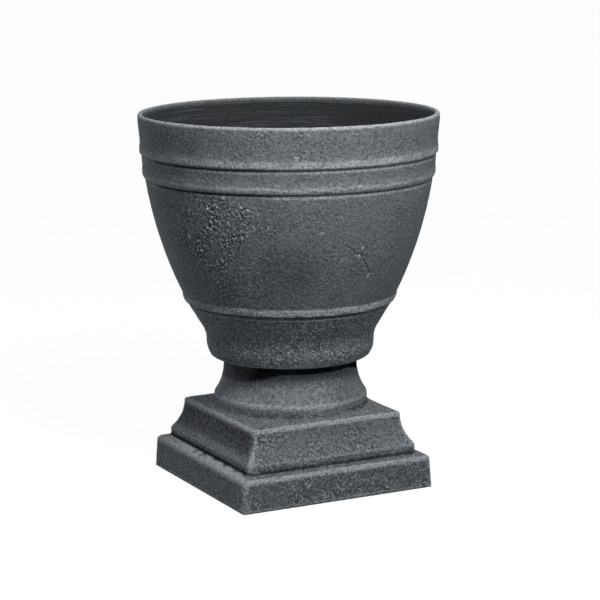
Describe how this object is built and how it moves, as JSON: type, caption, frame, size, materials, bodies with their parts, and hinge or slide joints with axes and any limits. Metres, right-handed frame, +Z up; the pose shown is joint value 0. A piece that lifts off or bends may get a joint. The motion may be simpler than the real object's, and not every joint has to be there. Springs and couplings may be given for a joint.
{
  "type": "urn planter",
  "caption": "Footed garden urn planter: thin round bowl with rounded lip and drip beads on a hollow pedestal with coved neck, coved square block and square plinth.",
  "frame": {"origin": "middle of the plinth's underside, on the ground", "axes": "+Z up along the bowl's axis; X and Y square to the plinth's sides"},
  "size_m": [0.4063, 0.4064, 0.5065],
  "materials": {
    "shell": "matt slate grey with a fine stone grain, paler on worn edges",
    "steel": "zinc plated",
    "rubber": "matt black"
  },
  "bodies": {
    "urn": {"pedestal": "shell", "bowl": "shell", "clamp_bolt": "steel", "upper_washer": "steel", "seal_washer": "rubber"},
    "lower_washer": {"lower_washer": "steel"},
    "wing_nut": {"wing_nut": "steel"},
    "drain_plug_1": {"drain_plug_1": "rubber"},
    "drain_plug_2": {"drain_plug_2": "rubber"},
    "drain_plug_3": {"drain_plug_3": "rubber"},
    "drain_plug_4": {"drain_plug_4": "rubber"}
  },
  "joints": [
    {"name": "washer_drop", "type": "slide", "parent": "urn", "child": "lower_washer", "axis": [0, 0, -1], "range_m": [0, 0.0125]},
    {"name": "nut_turn", "type": "hinge", "parent": "lower_washer", "child": "wing_nut", "pos_m": [0, 0, 0.1564], "axis": [0, 0, -1], "range_deg": [0, 3600]},
    {"name": "drain_plug_1_lift", "type": "slide", "parent": "urn", "child": "drain_plug_1", "axis": [0, 0, 1], "range_m": [0, 0.345]},
    {"name": "drain_plug_2_lift", "type": "slide", "parent": "urn", "child": "drain_plug_2", "axis": [0, 0, 1], "range_m": [0, 0.345]},
    {"name": "drain_plug_3_lift", "type": "slide", "parent": "urn", "child": "drain_plug_3", "axis": [0, 0, 1], "range_m": [0, 0.345]},
    {"name": "drain_plug_4_lift", "type": "slide", "parent": "urn", "child": "drain_plug_4", "axis": [0, 0, 1], "range_m": [0, 0.345]}
  ],
  "couplings": [
    {"joint": "washer_drop", "follows": "nut_turn", "m_per_rad": 0.00019894}
  ]
}
